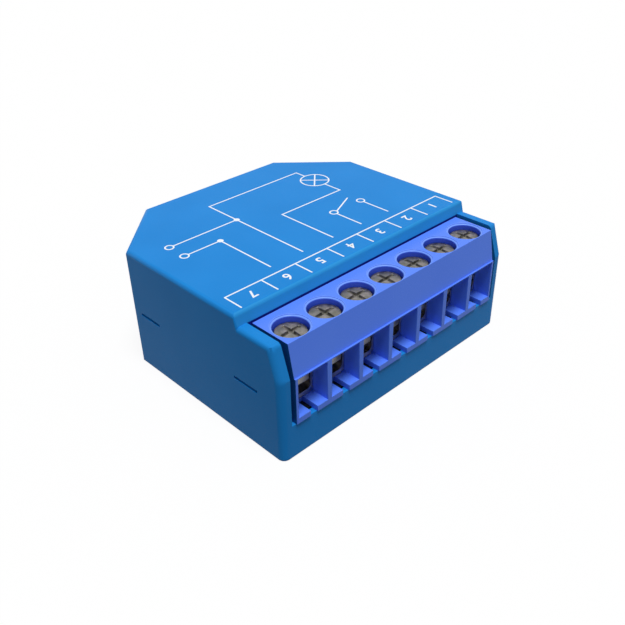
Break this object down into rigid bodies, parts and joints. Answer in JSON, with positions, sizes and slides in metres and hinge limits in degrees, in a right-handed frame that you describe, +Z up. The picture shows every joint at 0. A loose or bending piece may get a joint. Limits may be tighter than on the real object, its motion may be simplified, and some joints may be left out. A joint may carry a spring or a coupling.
{
  "type": "smart relay module",
  "caption": "Flat in-wall relay module: blue snap-together case with cut back corners and a front row of screw clamps whose cages rise as the screws turn.",
  "frame": {"origin": "middle of the bounding box on the base plane", "axes": "+X along the row of terminals, +Y from the terminals to the cut back corners, +Z up from the base"},
  "size_m": [0.041, 0.0374, 0.017],
  "materials": {
    "case_plastic": "fine moulded texture, blue",
    "block_plastic": "smooth moulded plastic, violet blue",
    "screw_steel": "zinc-plated steel",
    "clamp_metal": "plated pressed metal",
    "tinned_copper": "tin-plated copper alloy",
    "board": "dark solder mask",
    "black_resin": "matt black resin",
    "bobbin_plastic": "cream plastic",
    "copper": "enamelled copper",
    "soft_iron": "plated soft iron",
    "contact_silver": "bright plated metal",
    "sleeve": "shrunk plastic sleeve",
    "blue_coating": "dipped epoxy coating",
    "ferrite": "bare ferrite",
    "green_coating": "flameproof coating",
    "button_plastic": "smooth plastic"
  },
  "bodies": {
    "housing": {"upper_case": "case_plastic", "base_cover": "case_plastic", "terminal_block": "block_plastic", "contact_bar_1": "tinned_copper", "contact_bar_2": "tinned_copper", "contact_bar_3": "tinned_copper", "contact_bar_4": "tinned_copper", "contact_bar_5": "tinned_copper", "contact_bar_6": "tinned_copper", "contact_bar_7": "tinned_copper", "coil_pins": "tinned_copper", "fixed_contact": "tinned_copper", "link_pins": "tinned_copper", "main_board": "board", "radio_board": "board", "relay_base": "black_resin", "relay_cover": "black_resin", "rectifier": "black_resin", "converter_chip": "black_resin", "optocoupler": "black_resin", "switch_transistor": "black_resin", "chip_parts": "black_resin", "radio_chip": "black_resin", "memory_chip": "black_resin", "reset_switch": "black_resin", "coil_bobbin": "bobbin_plastic", "coil_winding": "copper", "choke_winding": "copper", "antenna_trace": "copper", "coil_core": "soft_iron", "relay_yoke": "soft_iron", "crystal": "contact_silver", "reset_dome": "contact_silver", "storage_capacitor_1": "sleeve", "storage_capacitor_2": "sleeve", "surge_disc": "blue_coating", "choke_core": "ferrite", "fuse_resistor": "green_coating"},
    "screw_1": {"terminal_screw_1": "screw_steel"},
    "cage_1": {"clamp_cage_1": "clamp_metal"},
    "screw_2": {"terminal_screw_2": "screw_steel"},
    "cage_2": {"clamp_cage_2": "clamp_metal"},
    "screw_3": {"terminal_screw_3": "screw_steel"},
    "cage_3": {"clamp_cage_3": "clamp_metal"},
    "screw_4": {"terminal_screw_4": "screw_steel"},
    "cage_4": {"clamp_cage_4": "clamp_metal"},
    "screw_5": {"terminal_screw_5": "screw_steel"},
    "cage_5": {"clamp_cage_5": "clamp_metal"},
    "screw_6": {"terminal_screw_6": "screw_steel"},
    "cage_6": {"clamp_cage_6": "clamp_metal"},
    "screw_7": {"terminal_screw_7": "screw_steel"},
    "cage_7": {"clamp_cage_7": "clamp_metal"},
    "armature": {"relay_armature": "soft_iron", "contact_blade": "copper", "moving_contact": "contact_silver"},
    "reset_button": {"reset_button": "button_plastic"}
  },
  "joints": [
    {"name": "screw_turn_1", "type": "hinge", "parent": "housing", "child": "screw_1", "pos_m": [-0.01578, -0.01528, 0.013], "axis": [0, 0, -1], "range_deg": [0, 1305]},
    {"name": "cage_lift_1", "type": "slide", "parent": "housing", "child": "cage_1", "axis": [0, 0, 1], "range_m": [0, 0.00145]},
    {"name": "screw_turn_2", "type": "hinge", "parent": "housing", "child": "screw_2", "pos_m": [-0.01052, -0.01528, 0.013], "axis": [0, 0, -1], "range_deg": [0, 1305]},
    {"name": "cage_lift_2", "type": "slide", "parent": "housing", "child": "cage_2", "axis": [0, 0, 1], "range_m": [0, 0.00145]},
    {"name": "screw_turn_3", "type": "hinge", "parent": "housing", "child": "screw_3", "pos_m": [-0.00526, -0.01528, 0.013], "axis": [0, 0, -1], "range_deg": [0, 1305]},
    {"name": "cage_lift_3", "type": "slide", "parent": "housing", "child": "cage_3", "axis": [0, 0, 1], "range_m": [0, 0.00145]},
    {"name": "screw_turn_4", "type": "hinge", "parent": "housing", "child": "screw_4", "pos_m": [0, -0.01528, 0.013], "axis": [0, 0, -1], "range_deg": [0, 1305]},
    {"name": "cage_lift_4", "type": "slide", "parent": "housing", "child": "cage_4", "axis": [0, 0, 1], "range_m": [0, 0.00145]},
    {"name": "screw_turn_5", "type": "hinge", "parent": "housing", "child": "screw_5", "pos_m": [0.00526, -0.01528, 0.013], "axis": [0, 0, -1], "range_deg": [0, 1305]},
    {"name": "cage_lift_5", "type": "slide", "parent": "housing", "child": "cage_5", "axis": [0, 0, 1], "range_m": [0, 0.00145]},
    {"name": "screw_turn_6", "type": "hinge", "parent": "housing", "child": "screw_6", "pos_m": [0.01052, -0.01528, 0.013], "axis": [0, 0, -1], "range_deg": [0, 1305]},
    {"name": "cage_lift_6", "type": "slide", "parent": "housing", "child": "cage_6", "axis": [0, 0, 1], "range_m": [0, 0.00145]},
    {"name": "screw_turn_7", "type": "hinge", "parent": "housing", "child": "screw_7", "pos_m": [0.01578, -0.01528, 0.013], "axis": [0, 0, -1], "range_deg": [0, 1305]},
    {"name": "cage_lift_7", "type": "slide", "parent": "housing", "child": "cage_7", "axis": [0, 0, 1], "range_m": [0, 0.00145]},
    {"name": "armature_swing", "type": "hinge", "parent": "housing", "child": "armature", "pos_m": [0.0037, 0.00912, 0.01365], "axis": [0, 1, 0], "range_deg": [0, 4], "stiffness_Nm_per_rad": 0.004, "springref_deg": -2.86},
    {"name": "reset_press", "type": "slide", "parent": "housing", "child": "reset_button", "axis": [0, 0, 1], "range_m": [0, 0.00025], "stiffness_N_per_m": 500, "springref_m": -0.0002}
  ],
  "couplings": [
    {"joint": "screw_turn_1", "follows": "cage_lift_1", "rad_per_m": 15708},
    {"joint": "screw_turn_2", "follows": "cage_lift_2", "rad_per_m": 15708},
    {"joint": "screw_turn_3", "follows": "cage_lift_3", "rad_per_m": 15708},
    {"joint": "screw_turn_4", "follows": "cage_lift_4", "rad_per_m": 15708},
    {"joint": "screw_turn_5", "follows": "cage_lift_5", "rad_per_m": 15708},
    {"joint": "screw_turn_6", "follows": "cage_lift_6", "rad_per_m": 15708},
    {"joint": "screw_turn_7", "follows": "cage_lift_7", "rad_per_m": 15708}
  ]
}
